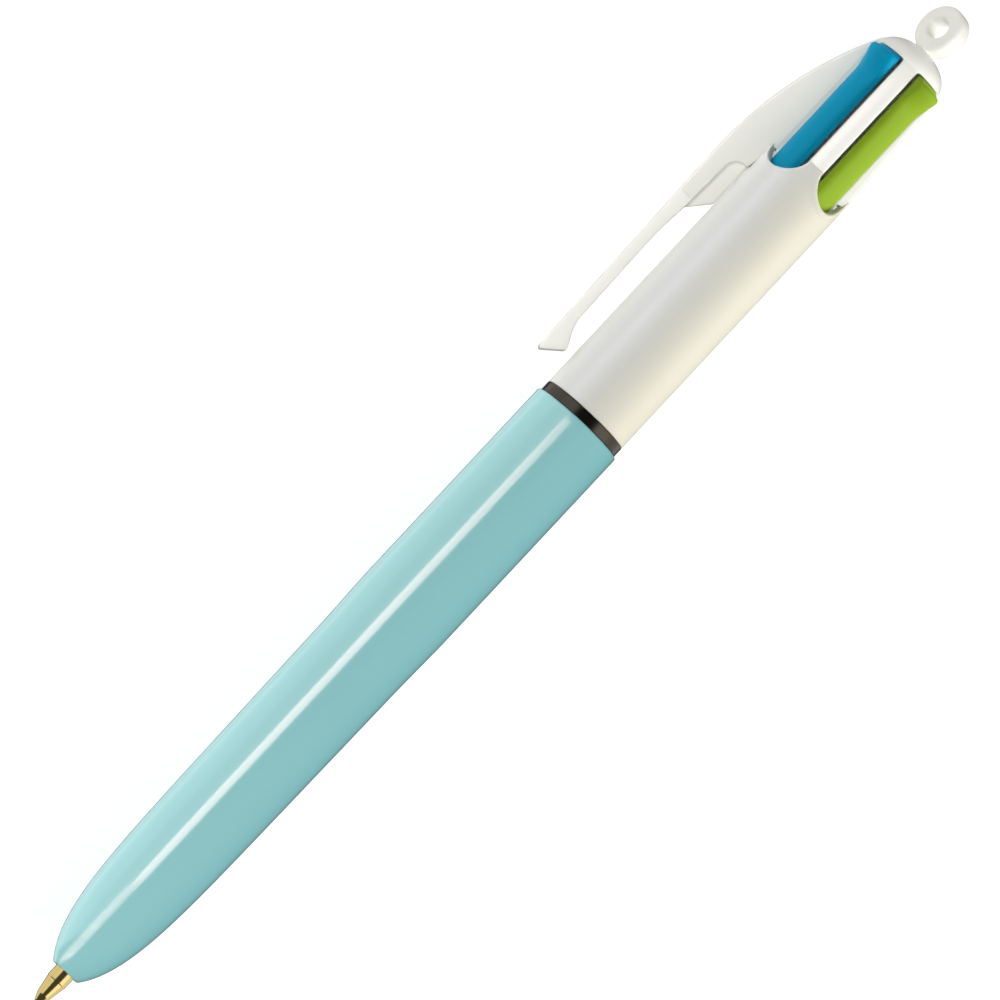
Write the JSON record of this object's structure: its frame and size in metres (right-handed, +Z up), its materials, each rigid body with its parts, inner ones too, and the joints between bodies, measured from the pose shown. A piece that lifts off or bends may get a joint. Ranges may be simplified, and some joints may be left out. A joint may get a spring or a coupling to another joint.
{
  "type": "multicolor click pen",
  "caption": "Slim retractable ballpoint pen with coloured push sliders, a dark trim ring, a springy pocket clip and a lanyard loop; one tip is out.",
  "frame": {"origin": "on the pen's centre line, in the middle of the lower barrel's straight grip", "axes": "+X along the centre line towards the writing tip; +Z up, as the pen rests on a table on its barrel and the edge of its clip; the clip points to -Y and down"},
  "size_m": [0.1488, 0.0148, 0.0115],
  "materials": {
    "white_plastic": "glossy off-white moulded plastic",
    "aqua_plastic": "glossy light aqua moulded plastic",
    "dark_metal": "dark gunmetal plating",
    "guide_plastic": "plain moulded plastic",
    "pink_plastic": "glossy pink moulded plastic",
    "lime_plastic": "glossy lime moulded plastic",
    "cyan_plastic": "glossy cyan-blue moulded plastic",
    "purple_plastic": "glossy purple moulded plastic",
    "spring_steel": "drawn spring wire",
    "tube_plastic": "milky extruded tube",
    "brass": "polished turned brass",
    "ball_steel": "ground carbide ball"
  },
  "bodies": {
    "upper_body": {"upper_barrel": "white_plastic", "top_cap": "white_plastic", "spring_plate": "guide_plastic", "return_spring_pink": "spring_steel", "return_spring_lime": "spring_steel", "return_spring_cyan": "spring_steel", "return_spring_purple": "spring_steel"},
    "clip": {"pocket_clip": "white_plastic"},
    "ring": {"trim_ring": "dark_metal"},
    "grip": {"lower_barrel": "aqua_plastic"},
    "pink_slider": {"slider_pink": "pink_plastic", "refill_tube_pink": "tube_plastic"},
    "pink_point": {"refill_tip_pink": "brass", "writing_ball_pink": "ball_steel"},
    "lime_slider": {"slider_lime": "lime_plastic", "refill_tube_lime": "tube_plastic"},
    "lime_point": {"refill_tip_lime": "brass", "writing_ball_lime": "ball_steel"},
    "cyan_slider": {"slider_cyan": "cyan_plastic", "refill_tube_cyan": "tube_plastic"},
    "cyan_point": {"refill_tip_cyan": "brass", "writing_ball_cyan": "ball_steel"},
    "purple_slider": {"slider_purple": "purple_plastic", "refill_tube_purple": "tube_plastic"},
    "purple_point": {"refill_tip_purple": "brass", "writing_ball_purple": "ball_steel"}
  },
  "joints": [
    {"name": "pink_press", "type": "slide", "parent": "upper_body", "child": "pink_slider", "axis": [1, 0, 0], "range_m": [-0.0135, 0], "deforming": ["return_spring_pink", "refill_tube_pink", "refill_tip_pink", "writing_ball_pink"]},
    {"name": "pink_point_in", "type": "slide", "parent": "pink_slider", "child": "pink_point", "axis": [0, -0.9573, 0.2892], "range_m": [-0.0027, 0]},
    {"name": "lime_press", "type": "slide", "parent": "upper_body", "child": "lime_slider", "axis": [1, 0, 0], "range_m": [0, 0.0135], "stiffness_N_per_m": 100, "springref_m": -0.003, "deforming": ["return_spring_lime", "refill_tube_lime", "refill_tip_lime", "writing_ball_lime"]},
    {"name": "lime_point_in", "type": "slide", "parent": "lime_slider", "child": "lime_point", "axis": [0, -0.2892, -0.9573], "range_m": [0, 0.0027]},
    {"name": "cyan_press", "type": "slide", "parent": "upper_body", "child": "cyan_slider", "axis": [1, 0, 0], "range_m": [0, 0.0135], "stiffness_N_per_m": 100, "springref_m": -0.003, "deforming": ["return_spring_cyan", "refill_tube_cyan", "refill_tip_cyan", "writing_ball_cyan"]},
    {"name": "cyan_point_in", "type": "slide", "parent": "cyan_slider", "child": "cyan_point", "axis": [0, 0.9573, -0.2892], "range_m": [0, 0.0027]},
    {"name": "purple_press", "type": "slide", "parent": "upper_body", "child": "purple_slider", "axis": [1, 0, 0], "range_m": [0, 0.0135], "stiffness_N_per_m": 100, "springref_m": -0.003, "deforming": ["return_spring_purple", "refill_tube_purple", "refill_tip_purple", "writing_ball_purple"]},
    {"name": "purple_point_in", "type": "slide", "parent": "purple_slider", "child": "purple_point", "axis": [0, 0.2892, 0.9573], "range_m": [0, 0.0027]},
    {"name": "thread_advance", "type": "slide", "parent": "upper_body", "child": "ring", "axis": [1, 0, 0], "range_m": [0, 0.006]},
    {"name": "barrel_turn", "type": "hinge", "parent": "ring", "child": "grip", "pos_m": [0, 0, 0], "axis": [1, 0, 0], "range_deg": [0, 1440]},
    {"name": "clip_flex", "type": "hinge", "parent": "upper_body", "child": "clip", "pos_m": [-0.0395, -0.0083, -0.00445], "axis": [0, 0.4724, -0.8814], "range_deg": [0, 5], "stiffness_Nm_per_rad": 1}
  ],
  "couplings": [
    {"joint": "pink_point_in", "follows": "pink_press", "ratio": 0.2},
    {"joint": "lime_point_in", "follows": "lime_press", "ratio": 0.2},
    {"joint": "cyan_point_in", "follows": "cyan_press", "ratio": 0.2},
    {"joint": "purple_point_in", "follows": "purple_press", "ratio": 0.2},
    {"joint": "barrel_turn", "follows": "thread_advance", "rad_per_m": 4188.8}
  ]
}
